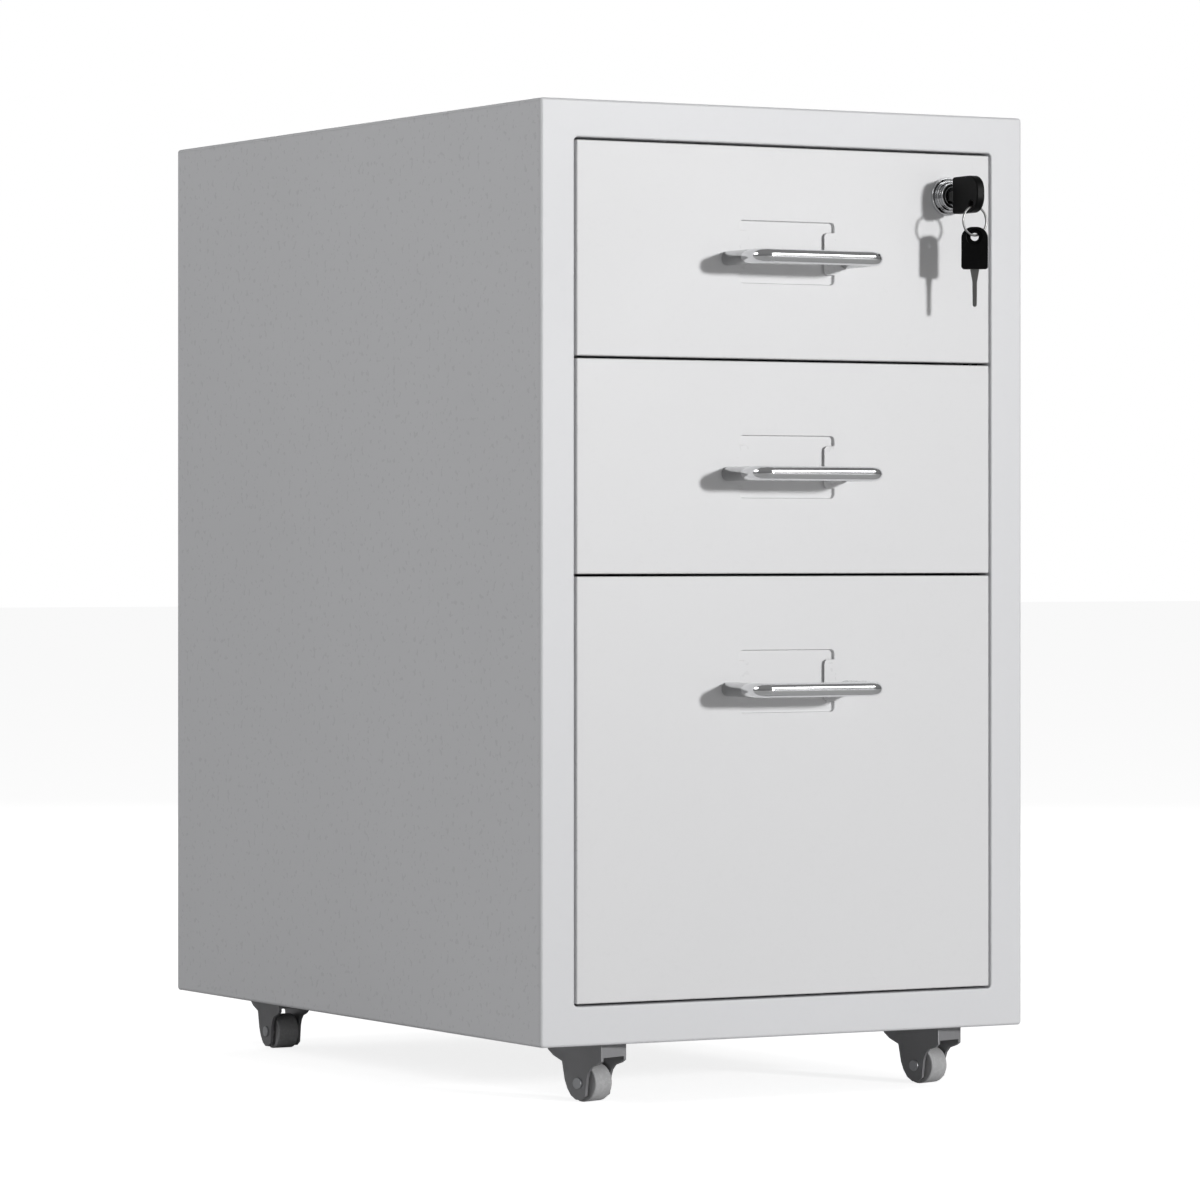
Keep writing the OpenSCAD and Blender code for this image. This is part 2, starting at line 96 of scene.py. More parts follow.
def makeStudio():
    side, up, away = math.radians(studio["keySide"]), math.radians(studio["keyUp"]), studio["keyAway"]
    target = np.array((0.0, frontY, 0.4))
    toKey = np.array((math.sin(side) * math.cos(up), -math.cos(side) * math.cos(up), math.sin(up)))
    areaLight("keyLight", studio["keyPower"], studio["keySize"], target + away * toKey, target)
    soft = areaLight("softBox", studio["softPower"], studio["softWide"], studio["softPlace"], (0, frontY, 0.45),
                     shape="RECTANGLE", sizeY=studio["softTall"])
    soft.visible_diffuse = False      # this one is only for the chrome to reflect
    areaLight("fill", studio["fillPower"], studio["fillSize"], studio["fillPlace"], (-0.19, frontY + 0.3, 0.4))
    areaLight("backLight", studio["backPower"], studio["backSize"], studio["backPlace"], (0, backY, 0.4))
    world = bpy.data.worlds.new("studio")
    bpy.context.scene.world = world
    world.use_nodes = True
    tree = world.node_tree
    tree.nodes.clear()
    out = tree.nodes.new("ShaderNodeOutputWorld")
    mix = tree.nodes.new("ShaderNodeMixShader")
    path = tree.nodes.new("ShaderNodeLightPath")
    dim = tree.nodes.new("ShaderNodeBackground")
    bright = tree.nodes.new("ShaderNodeBackground")
    coord = tree.nodes.new("ShaderNodeTexCoord")
    split = tree.nodes.new("ShaderNodeSeparateXYZ")
    shade = tree.nodes.new("ShaderNodeValToRGB")
    low, high = shade.color_ramp.elements
    low.position, low.color = studio["skyFrom"], studio["lowSky"]
    high.position, high.color = studio["skyTo"], studio["highSky"]
    lift = tree.nodes.new("ShaderNodeMath")
    lift.operation = "MULTIPLY_ADD"
    lift.inputs[1].default_value = lift.inputs[2].default_value = 0.5     # from -1..1 to 0..1
    tree.links.new(coord.outputs["Generated"], split.inputs[0])
    tree.links.new(split.outputs["Z"], lift.inputs[0])
    tree.links.new(lift.outputs[0], shade.inputs[0])
    tree.links.new(shade.outputs[0], dim.inputs["Color"])
    dim.inputs["Strength"].default_value = studio["ambient"]
    bright.inputs["Color"].default_value = (1, 1, 1, 1)
    bright.inputs["Strength"].default_value = studio["backdrop"]
    tree.links.new(path.outputs["Is Camera Ray"], mix.inputs[0])
    tree.links.new(dim.outputs[0], mix.inputs[1])
    tree.links.new(bright.outputs[0], mix.inputs[2])
    tree.links.new(mix.outputs[0], out.inputs[0])
    bpy.context.scene.view_settings.view_transform = "Standard"


def makeFloor():
    reach = studio["floorReach"]
    corners = [(-reach, -reach, 0), (reach, -reach, 0), (reach, reach, 0), (-reach, reach, 0)]
    mesh = bpy.data.meshes.new("floor")
    mesh.from_pydata(corners, [], [(0, 1, 2, 3)])
    floor = bpy.data.objects.new("floor", mesh)
    bpy.context.scene.collection.objects.link(floor)
    mat = bpy.data.materials.new("paleFloor")
    mat.use_nodes = True
    tree = mat.node_tree
    shader = tree.nodes["Principled BSDF"]
    shader.inputs["Base Color"].default_value = (studio["floorShade"],) * 3 + (1,)
    shader.inputs["Roughness"].default_value = studio["floorRough"]
    glow = tree.nodes.new("ShaderNodeEmission")
    glow.inputs["Strength"].default_value = studio["floorGlow"]
    path = tree.nodes.new("ShaderNodeLightPath")
    seen = tree.nodes.new("ShaderNodeMixShader")
    add = tree.nodes.new("ShaderNodeAddShader")
    tree.links.new(shader.outputs[0], add.inputs[0])
    tree.links.new(glow.outputs[0], add.inputs[1])
    tree.links.new(path.outputs["Is Camera Ray"], seen.inputs[0])
    tree.links.new(shader.outputs[0], seen.inputs[1])
    tree.links.new(add.outputs[0], seen.inputs[2])
    tree.links.new(seen.outputs[0], tree.nodes["Material Output"].inputs[0])
    mesh.materials.append(mat)


makeCamera()
makeStudio()
makeFloor()
print("camera, light and floor made")


# ---------- surfaces as grids of points ----------
def gridFaces(rows, cols, closeRows=False, closeCols=False):
    # one quad between each point and the next along and across, as one array of corner numbers
    r = np.arange(rows if closeRows else rows - 1)
    c = np.arange(cols if closeCols else cols - 1)
    r0, c0 = np.meshgrid(r, c, indexing="ij")
    r1, c1 = (r0 + 1) % rows, (c0 + 1) % cols
    return np.stack([r0 * cols + c0, r0 * cols + c1, r1 * cols + c1, r1 * cols + c0], axis=-1).reshape(-1, 4)


def surface(points, closeRows=False, closeCols=False, caps=""):
    # points is rows x columns x 3; a cap closes the first or last row with one flat face
    rows, cols = points.shape[:2]
    faces = gridFaces(rows, cols, closeRows, closeCols).tolist()
    if "first" in caps:
        faces.append(list(range(cols))[::-1])
    if "last" in caps:
        faces.append(list(range((rows - 1) * cols, rows * cols)))
    return points.reshape(-1, 3), faces


def frameLoop(halfX, halfY, r, corner=6):
    # a rounded rectangle, walked anticlockwise: each corner is a quarter circle of radius r
    turn = np.linspace(0, math.pi / 2, corner + 1)
    arc = np.stack([np.cos(turn), np.sin(turn)], axis=-1) * r
    quarters = []
    for k, (sx, sy) in enumerate(((1, 1), (-1, 1), (-1, -1), (1, -1))):
        c, s = round(math.cos(k * math.pi / 2)), round(math.sin(k * math.pi / 2))
        quarters.append(arc @ np.array([[c, s], [-s, c]]) + (sx * (halfX - r), sy * (halfY - r)))
    return np.concatenate(quarters)


def filleted(corners, radii, steps=6):
    # an open line with each inner corner turned into an arc that is tangent to both its sides
    corners = [np.array(c, float) for c in corners]
    line = [corners[0]]
    for before, at, after, r in zip(corners, corners[1:], corners[2:], np.broadcast_to(radii, (len(corners) - 2,))):
        a, b = before - at, after - at
        a, b = a / np.linalg.norm(a), b / np.linalg.norm(b)
        half = math.acos(np.clip(a @ b, -1, 1)) / 2
        start, end = at + a * r / math.tan(half), at + b * r / math.tan(half)
        middle = at + (a + b) / np.linalg.norm(a + b) * r / math.sin(half)
        t0, t1 = start - middle, end - middle
        sweep = math.acos(np.clip(t0 @ t1 / r ** 2, -1, 1))
        for t in np.linspace(0, 1, steps + 1):
            line.append(middle + (t0 * math.sin((1 - t) * sweep) + t1 * math.sin(t * sweep)) / math.sin(sweep))
    line.append(corners[-1])
    return np.array(line)


def lathe(profile, middle, axis, around=64, closed=False):
    # profile is (along the axis, radius); each point is turned once round the axis through middle
    profile = np.array(profile, float)
    axis = np.array(axis, float) / np.linalg.norm(axis)
    u = np.cross(axis, (0, 0, 1) if abs(axis[2]) < 0.9 else (1, 0, 0))
    u /= np.linalg.norm(u)
    w = np.cross(axis, u)
    turn = np.linspace(0, 2 * math.pi, around, endpoint=False)
    ring = np.cos(turn)[:, None] * u + np.sin(turn)[:, None] * w
    points = np.array(middle) + profile[:, None, 0:1] * axis + profile[:, None, 1:2] * ring[None]
    return surface(points, closeRows=closed, closeCols=True, caps="" if closed else "first last")


def tube(path, radius, around=24, closed=False):
    # a circle of the given radius carried along the path, its frame turned as little as possible
    path = np.array(path, float)
    ahead = np.roll(path, -1, axis=0) - np.roll(path, 1, axis=0)
    if not closed:
        ahead[0], ahead[-1] = path[1] - path[0], path[-1] - path[-2]
    ahead /= np.linalg.norm(ahead, axis=1, keepdims=True)
    flat = np.cross(ahead[0], ahead[len(path) // 3])
    size = np.linalg.norm(flat)
    up = flat / size if size > 1e-6 else np.array((0, 0, 1.0))
    across = np.cross(ahead, up)
    turn = np.linspace(0, 2 * math.pi, around, endpoint=False)
    radius = np.broadcast_to(np.asarray(radius, float), (len(path),))[:, None, None]
    ring = np.cos(turn)[None, :, None] * across[:, None] + np.sin(turn)[None, :, None] * up
    points = path[:, None] + radius * ring
    return surface(points, closeRows=closed, closeCols=True, caps="" if closed else "first last")


# ---------- making a piece ----------
def finishPiece(obj, body, material, replaced, bevel=0, solid=0):
    # modifiers in working order: wall thickness, then rounded edges, then level shading of the flats
    obj.data.materials.clear()
    obj.data.materials.append(material)
    if solid:
        wall = obj.modifiers.new("wall", "SOLIDIFY")
        wall.thickness, wall.offset, wall.use_even_offset = solid, -1, True
    if bevel:
        edge = obj.modifiers.new("edge", "BEVEL")
        edge.width, edge.segments, edge.limit_method = bevel, 2, "ANGLE"
        edge.angle_limit = math.radians(40)
        edge.use_clamp_overlap = True
    obj.data.shade_smooth()
    level = obj.modifiers.new("level", "WEIGHTED_NORMAL")
    level.keep_sharp = True
    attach(obj, body)
    if replaced:
        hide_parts(*replaced)
    return obj


def makePiece(name, parts, body, material, replaced=(), solid=0, fixNormals=True):
    # joins grid surfaces into one mesh, closes seams and poles, and points the faces outwards
    points, faces, count = [], [], 0
    for verts, quads in parts:
        points.append(verts)
        faces += [[corner + count for corner in quad] for quad in quads]
        count += len(verts)
    mesh = bpy.data.meshes.new(name)
    mesh.from_pydata(np.concatenate(points).tolist(), [], faces)
    work = bmesh.new()
    work.from_mesh(mesh)
    bmesh.ops.remove_doubles(work, verts=work.verts, dist=1e-6)
    bmesh.ops.dissolve_degenerate(work, edges=work.edges, dist=1e-7)
    if fixNormals:
        bmesh.ops.recalc_face_normals(work, faces=work.faces)
    work.to_mesh(mesh)
    work.free()
    obj = bpy.data.objects.new(name, mesh)
    bpy.context.scene.collection.objects.link(obj)
    return finishPiece(obj, body, material, replaced, solid=solid)


def roundedCopy(node, body, material, bevel):
    # a copy of a CAD node with its triangles joined into flat faces and its edges rounded
    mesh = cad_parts[node].data.copy()
    work = bmesh.new()
    work.from_mesh(mesh)
    bmesh.ops.remove_doubles(work, verts=work.verts, dist=2e-6)
    bmesh.ops.dissolve_limit(work, angle_limit=math.radians(0.6), verts=work.verts, edges=work.edges,
                             delimit={"NORMAL"})
    work.to_mesh(mesh)
    work.free()
    if mesh.attributes.get("custom_normal"):
        mesh.attributes.remove(mesh.attributes["custom_normal"])
    obj = bpy.data.objects.new(node + "_made", mesh)
    bpy.context.scene.collection.objects.link(obj)
    obj = finishPiece(obj, body, material, [node], bevel)
    mesh.set_sharp_from_angle(angle=math.radians(32))
    return obj


# ---------- finishes ----------
def groupTree(name, inputs, outputs):
    tree = bpy.data.node_groups.new(name, "ShaderNodeTree")
    for label, kind, value in inputs:
        socket = tree.interface.new_socket(label, in_out="INPUT", socket_type=kind)
        socket.default_value = value
    for label, kind in outputs:
        tree.interface.new_socket(label, in_out="OUTPUT", socket_type=kind)
    return tree, tree.nodes.new("NodeGroupInput"), tree.nodes.new("NodeGroupOutput")


def addNode(tree, kind, **values):
    made = tree.nodes.new(kind)
    for key, value in values.items():
        if key in made.inputs:
            made.inputs[key].default_value = value
        else:
            setattr(made, key, value)
    return made


def maths(tree, operation, a, b=None, clamp=False):
    made = tree.nodes.new("ShaderNodeMath")
    made.operation, made.use_clamp = operation, clamp
    for socket, value in zip(made.inputs, (a, b)):
        if hasattr(value, "links"):
            tree.links.new(value, socket)
        elif value is not None:
            socket.default_value = value
    return made.outputs[0]


def mixColors(tree, factor, a, b):
    made = tree.nodes.new("ShaderNodeMix")
    made.data_type = "RGBA"
    for socket, value in zip((made.inputs[0], made.inputs[6], made.inputs[7]), (factor, a, b)):
        if hasattr(value, "links"):
            tree.links.new(value, socket)
        else:
            socket.default_value = value
    return made.outputs[2]


def makeCoatGroup():
    # powder coat: a fine orange-peel height, a slow drift of tone, and a few specks
    tree, given, result = groupTree(
        "powderCoat",
        [("Color", "NodeSocketColor", (0.8, 0.8, 0.8, 1)), ("Peel Size", "NodeSocketFloat", 0.0014),
         ("Drift", "NodeSocketFloat", 0.02)],
        [("Color", "NodeSocketColor"), ("Roughness", "NodeSocketFloat"), ("Height", "NodeSocketFloat")])
    coord = addNode(tree, "ShaderNodeTexCoord")
    scale = maths(tree, "DIVIDE", 1.0, given.outputs["Peel Size"])
    peel = addNode(tree, "ShaderNodeTexNoise", Detail=2.0, Roughness=0.45)
    tree.links.new(coord.outputs["Object"], peel.inputs["Vector"])
    tree.links.new(scale, peel.inputs["Scale"])
    slow = addNode(tree, "ShaderNodeTexNoise", Scale=3.2, Detail=3.0)
    tree.links.new(coord.outputs["Object"], slow.inputs["Vector"])
    fleck = addNode(tree, "ShaderNodeTexVoronoi", Scale=260.0)
    tree.links.new(coord.outputs["Object"], fleck.inputs["Vector"])
    speck = maths(tree, "LESS_THAN", fleck.outputs["Distance"], 0.045)
    shift = maths(tree, "MULTIPLY", maths(tree, "SUBTRACT", slow.outputs[0], 0.5), given.outputs["Drift"])
    dark = addNode(tree, "ShaderNodeHueSaturation")
    tree.links.new(given.outputs["Color"], dark.inputs["Color"])
    value = maths(tree, "ADD", 1.0, maths(tree, "SUBTRACT", maths(tree, "MULTIPLY", shift, 2.0),
                                          maths(tree, "MULTIPLY", speck, 0.02)))
    tree.links.new(value, dark.inputs["Value"])
    tree.links.new(dark.outputs[0], result.inputs["Color"])
    rough = maths(tree, "ADD", 0.40, maths(tree, "MULTIPLY", maths(tree, "SUBTRACT", slow.outputs[0], 0.5), 0.16))
    tree.links.new(rough, result.inputs["Roughness"])
    tree.links.new(peel.outputs[0], result.inputs["Height"])
    return tree


def makeWearGroup():
    # a mask that is 1 on outward edges and 0 on the flats, broken up by noise
    tree, given, result = groupTree(
        "edgeWear",
        [("Reach", "NodeSocketFloat", 0.5), ("Break Up", "NodeSocketFloat", 220.0)],
        [("Mask", "NodeSocketFloat")])
    shape = addNode(tree, "ShaderNodeNewGeometry")
    coord = addNode(tree, "ShaderNodeTexCoord")
    noise = addNode(tree, "ShaderNodeTexNoise", Detail=4.0)
    tree.links.new(coord.outputs["Object"], noise.inputs["Vector"])
    tree.links.new(given.outputs["Break Up"], noise.inputs["Scale"])
    edge = maths(tree, "MULTIPLY", maths(tree, "SUBTRACT", shape.outputs["Pointiness"], 0.51), 14.0, clamp=True)
    broken = maths(tree, "MULTIPLY", edge, maths(tree, "GREATER_THAN", noise.outputs[0],
                                                 maths(tree, "SUBTRACT", 1.0, given.outputs["Reach"])))
    tree.links.new(broken, result.inputs["Mask"])
    return tree


def makeGrainGroup():
    # marks drawn out along one axis, such as rolling or polishing lines
    tree, given, result = groupTree(
        "drawnGrain",
        [("Across", "NodeSocketVector", (900.0, 12.0, 900.0)), ("Smudge", "NodeSocketFloat", 30.0)],
        [("Height", "NodeSocketFloat"), ("Smudges", "NodeSocketFloat")])
    coord = addNode(tree, "ShaderNodeTexCoord")
    stretch = addNode(tree, "ShaderNodeVectorMath", operation="MULTIPLY")
    tree.links.new(coord.outputs["Object"], stretch.inputs[0])
    tree.links.new(given.outputs["Across"], stretch.inputs[1])
    lines = addNode(tree, "ShaderNodeTexNoise", Scale=1.0, Detail=4.0)
    tree.links.new(stretch.outputs[0], lines.inputs["Vector"])
    blur = addNode(tree, "ShaderNodeTexNoise", Detail=4.0, Roughness=0.6)
    tree.links.new(coord.outputs["Object"], blur.inputs["Vector"])
    tree.links.new(given.outputs["Smudge"], blur.inputs["Scale"])
    tree.links.new(lines.outputs[0], result.inputs["Height"])
    tree.links.new(blur.outputs[0], result.inputs["Smudges"])
    return tree


def makeDustGroup():
    # dust that settles on faces that look up, thicker in slow patches
    tree, given, result = groupTree(
        "settledDust",
        [("Amount", "NodeSocketFloat", 0.2)],
        [("Mask", "NodeSocketFloat")])
    shape = addNode(tree, "ShaderNodeNewGeometry")
    split = addNode(tree, "ShaderNodeSeparateXYZ")
    coord = addNode(tree, "ShaderNodeTexCoord")
    patch = addNode(tree, "ShaderNodeTexNoise", Scale=38.0, Detail=5.0)
    tree.links.new(coord.outputs["Object"], patch.inputs["Vector"])
    tree.links.new(shape.outputs["Normal"], split.inputs[0])
    up = maths(tree, "MULTIPLY", maths(tree, "SUBTRACT", split.outputs["Z"], 0.3), 1.4, clamp=True)
    mask = maths(tree, "MULTIPLY", maths(tree, "MULTIPLY", up, patch.outputs[0]), given.outputs["Amount"], clamp=True)
    tree.links.new(mask, result.inputs["Mask"])
    return tree


coatGroup, wearGroup = makeCoatGroup(), makeWearGroup()
grainGroup, dustGroup = makeGrainGroup(), makeDustGroup()


def newFinish(name, **values):
    mat = bpy.data.materials.new(name)
    mat.use_nodes = True
    shader = mat.node_tree.nodes["Principled BSDF"]
    for key, value in values.items():
        label = {"metallic": "Metallic", "specular": "Specular IOR Level"}[key]
        shader.inputs[label].default_value = value
    return mat, mat.node_tree, shader


def useGroup(tree, group, **values):
    made = tree.nodes.new("ShaderNodeGroup")
    made.node_tree = group
    for key, value in values.items():
        made.inputs[key.replace("_", " ")].default_value = value
    return made


def addBump(tree, shader, height, strength, distance):
    bump = addNode(tree, "ShaderNodeBump", Strength=strength, Distance=distance)
    tree.links.new(height, bump.inputs["Height"])
    tree.links.new(bump.outputs[0], shader.inputs["Normal"])


def paintFinish(name, color, peel=0.0014, strength=0.10, dust=0.0):
    mat, tree, shader = newFinish(name, specular=0.45)
    coat = useGroup(tree, coatGroup, Color=(*color, 1), Peel_Size=peel)
    wear = useGroup(tree, wearGroup, Reach=0.38)
    settled = useGroup(tree, dustGroup, Amount=dust)
    worn = mixColors(tree, maths(tree, "MULTIPLY", wear.outputs["Mask"], 0.30), coat.outputs["Color"],
                     tuple(c * 0.72 for c in color) + (1,))
    dusty = mixColors(tree, settled.outputs["Mask"], worn, (0.50, 0.48, 0.45, 1))
    tree.links.new(dusty, shader.inputs["Base Color"])
    tree.links.new(coat.outputs["Roughness"], shader.inputs["Roughness"])
    addBump(tree, shader, coat.outputs["Height"], strength, 0.0002)
    return mat


def platedFinish(name, color, roughness, across, smudge=0.08, strength=0.04, dark=None):
    mat, tree, shader = newFinish(name, metallic=1.0)
    grain = useGroup(tree, grainGroup, Across=across)
    wear = useGroup(tree, wearGroup, Reach=0.5)
    dull = maths(tree, "MULTIPLY", maths(tree, "SUBTRACT", grain.outputs["Smudges"], 0.42), smudge * 2, clamp=True)
    tint = mixColors(tree, dull, (*color, 1), (*(dark or tuple(c * 0.8 for c in color)), 1))
    bright = mixColors(tree, maths(tree, "MULTIPLY", wear.outputs["Mask"], 0.25), tint,
                       tuple(min(1, c * 1.12) for c in color) + (1,))
    tree.links.new(bright, shader.inputs["Base Color"])
    rough = maths(tree, "ADD", maths(tree, "MULTIPLY", grain.outputs["Smudges"], smudge), roughness)
    tree.links.new(rough, shader.inputs["Roughness"])
    addBump(tree, shader, grain.outputs["Height"], strength, 0.0001)
    return mat


def plasticFinish(name, color, roughness, grainSize=900.0, strength=0.12, dust=0.05, specular=0.5):
    mat, tree, shader = newFinish(name, specular=specular)
    coord = addNode(tree, "ShaderNodeTexCoord")
    grain = addNode(tree, "ShaderNodeTexNoise", Scale=grainSize, Detail=2.0)
    tree.links.new(coord.outputs["Object"], grain.inputs["Vector"])
    slow = addNode(tree, "ShaderNodeTexNoise", Scale=45.0, Detail=3.0)
    tree.links.new(coord.outputs["Object"], slow.inputs["Vector"])
    wear = useGroup(tree, wearGroup, Reach=0.45, Break_Up=400.0)
    settled = useGroup(tree, dustGroup, Amount=dust)
    base = mixColors(tree, slow.outputs[0], tuple(c * 0.85 for c in color) + (1,),
                     tuple(c * 1.15 for c in color) + (1,))
    scuffed = mixColors(tree, maths(tree, "MULTIPLY", wear.outputs["Mask"], 0.35), base,
                        tuple(min(1, c * 1.6 + 0.01) for c in color) + (1,))
    dusty = mixColors(tree, settled.outputs["Mask"], scuffed, (0.42, 0.40, 0.37, 1))
    tree.links.new(dusty, shader.inputs["Base Color"])
    rough = maths(tree, "ADD", maths(tree, "MULTIPLY", slow.outputs[0], 0.16), roughness - 0.08)
    tree.links.new(rough, shader.inputs["Roughness"])
    addBump(tree, shader, grain.outputs[0], strength, 0.0001)
    return mat


white = {"casing": (0.802, 0.806, 0.823), "front": (0.82, 0.82, 0.828), "tray": (0.76, 0.763, 0.77)}
casingPaint = paintFinish("casingPaint", white["casing"], strength=0.04, dust=0.03)
frontPaint = paintFinish("frontPaint", white["front"], strength=0.04)
trayPaint = paintFinish("trayPaint", white["tray"], peel=0.0018, strength=0.10, dust=0.12)
zincPlate = platedFinish("zincPlate", (0.62, 0.63, 0.65), 0.24, (700.0, 14.0, 700.0), smudge=0.22, strength=0.10,
                         dark=(0.47, 0.48, 0.47))
zincUpright = platedFinish("zincUpright", (0.60, 0.61, 0.63), 0.28, (600.0, 600.0, 16.0), smudge=0.22, strength=0.10,
                           dark=(0.46, 0.47, 0.47))
handleChrome = platedFinish("handleChrome", (0.86, 0.865, 0.875), 0.07, (14.0, 900.0, 900.0), smudge=0.07)
lockChrome = platedFinish("lockChrome", (0.74, 0.745, 0.76), 0.06, (700.0, 700.0, 700.0), smudge=0.06)
keyNickel = platedFinish("keyNickel", (0.34, 0.34, 0.335), 0.26, (900.0, 900.0, 60.0), smudge=0.16, strength=0.08)
keyPlastic = plasticFinish("keyPlastic", (0.003, 0.003, 0.0032), 0.46, strength=0.08, dust=0.0, specular=0.12)
guidePlastic = plasticFinish("guidePlastic", (0.03, 0.03, 0.031), 0.5)
forkSteel = platedFinish("forkSteel", (0.42, 0.42, 0.43), 0.42, (500.0, 500.0, 40.0), smudge=0.2, strength=0.12,
                         dark=(0.30, 0.30, 0.305))
wheelPlastic = plasticFinish("wheelPlastic", (0.50, 0.50, 0.505), 0.42, grainSize=700.0, strength=0.16, dust=0.10)
print("finishes made")

# ---------- the casing ----------
mm = 0.001
casing = {"corner": 2.5 * mm, "faceEdge": 2.0 * mm, "openEdge": 1.2 * mm, "openCorner": 3 * mm, "turnIn": 18 * mm,
          "hem": 11 * mm, "wall": 0.9 * mm, "seam": 2.3 * mm, "tabIn": 1.1 * mm, "tabDeep": 9 * mm,
          "seamGap": 0.15 * mm, "panelEdge": 0.35 * mm, "guideEdge": 0.5 * mm, "fittingEdge": 0.3 * mm}
quarter = np.linspace(0, math.pi / 2, 6)


def stack(rings, upright=True):
    # each ring is (half width, half height, corner radius, centre, level): upright rings lie in X and Z with
    # the level along Y, and flat rings lie in X and Y with the level along Z
    rows = []
    for halfA, halfB, r, centre, level in rings:
        loop = frameLoop(halfA, halfB, max(r, 0.2 * mm))
        a, b, flat = loop[:, 0], loop[:, 1] + centre, np.full(len(loop), level)
        rows.append(np.stack([a, flat, b] if upright else [a, b, flat], axis=-1))
    return np.array(rows)


def outEdge(halfA, halfB, corner, centre, face, r):
    # from the side wall forward and inward on to the face: inset r(1 - cos t), depth r(1 - sin t)
    return [(halfA - r * (1 - math.cos(t)), halfB - r * (1 - math.cos(t)), corner - r * (1 - math.cos(t)), centre,
             face + r * (1 - math.sin(t))) for t in quarter]


def inEdge(halfA, halfB, corner, centre, face, r):
    # from the face inward and back into an opening: the same arc, turned over
    return [(halfA + r * (1 - math.cos(t)), halfB + r * (1 - math.cos(t)), corner + r * (1 - math.cos(t)), centre,
             face + r * (1 - math.sin(t))) for t in quarter[::-1]]


def makeFrontRim():
    c = casing
    halfZ, midZ = (topZ - lowZ) / 2, (topZ + lowZ) / 2
    openHalfZ, openMid = (openHigh - openLow) / 2, (openHigh + openLow) / 2
    tab = (sideX - c["tabIn"], halfZ - c["tabIn"], c["corner"] - c["tabIn"], midZ)
    rings = [(*tab, frontY + c["tabDeep"]), (*tab, frontY + c["seam"]),
             (sideX, halfZ, c["corner"], midZ, frontY + c["seam"])]
    rings += outEdge(sideX, halfZ, c["corner"], midZ, frontY, c["faceEdge"])
    rings += inEdge(openHalf, openHalfZ, c["openCorner"], openMid, frontY, c["openEdge"])
    rings.append((openHalf, openHalfZ, c["openCorner"], openMid, frontY + c["turnIn"]))
    makePiece("front_rim", [surface(stack(rings), closeCols=True)], "casing", casingPaint,
              ["front_frame"], solid=c["wall"], fixNormals=False)


def sheetAlongY(profile, start, end):
    # a line in X and Z drawn out along Y; walked anticlockwise from the front, its outer face looks out
    profile = np.array(profile)
    rows = [np.stack([profile[:, 0], np.full(len(profile), y), profile[:, 1]], axis=-1) for y in (end, start)]
    return surface(np.array(rows))


def arcLine(centre, r, start, end, steps=6):
    turn = np.radians(np.linspace(start, end, steps + 1))
    return np.stack([centre[0] + r * np.cos(turn), centre[1] + r * np.sin(turn)], axis=-1)


def makeShell():
    c = casing
    r, start, end = c["corner"], frontY + c["seam"] + c["seamGap"], backY
    low = arcLine((sideX - r, lowZ + r), r, -90, 0)
    right = np.concatenate([[(sideX - c["hem"], lowZ)], low, [(sideX, topZ - r)]])
    left = (right * (-1, 1))[::-1]
    for name, profile in (("right", right), ("left", left)):
        makePiece(f"side_{name}", [sheetAlongY(profile, start, end)], "casing", casingPaint,
                  [f"side_panel_{name}"], solid=c["wall"], fixNormals=False)
    top = np.concatenate([arcLine((sideX - r, topZ - r), r, 0, 90), arcLine((r - sideX, topZ - r), r, 90, 180)])
    makePiece("top", [sheetAlongY(top, start, end)], "casing", casingPaint, ["top_panel"],
              solid=c["wall"], fixNormals=False)
    for node in ("back_panel", "base_panel"):
        roundedCopy(node, "casing", casingPaint, c["panelEdge"])


def makeCasingFittings():
    roundedCopy("slide_posts", "casing", zincUpright, casing["panelEdge"])
    for node in ("cabinet_rails_1", "cabinet_rails_2", "cabinet_rails_3", "rail_screws", "caster_plates",
                 "caster_kingpins", "caster_bolts"):
        roundedCopy(node, "casing", zincPlate, casing["fittingEdge"])
    roundedCopy("bar_guides", "casing", guidePlastic, casing["guideEdge"])


makeFrontRim()
makeShell()
makeCasingFittings()
print("casing made")


# ---------- the drawers ----------
drawer = {"edge": 1.0 * mm, "corner": 1.0 * mm, "deep": 18 * mm, "wall": 0.9 * mm, "pocketEdge": 0.4 * mm,
          "pocketCorner": 3 * mm, "pocketW": 77 * mm, "pocketH": 43.5 * mm, "pocketDeep": 2.5 * mm,
          "floorArc": 0.7 * mm, "pocketDrop": 73 * mm, "lipW": 8 * mm, "lipH": 29.5 * mm, "lipCorner": 3 * mm,
          "hem": 2.0 * mm, "trayIn": 5.2 * mm, "trayUp": 9 * mm, "trayFold": 2.5 * mm, "plateIn": 1.1 * mm,
          "tall": {1: 88 * mm, 2: 88 * mm, 3: 240 * mm}, "bend": 8 * mm, "fittingEdge": 0.3 * mm,
          "studEdge": 0.5 * mm}


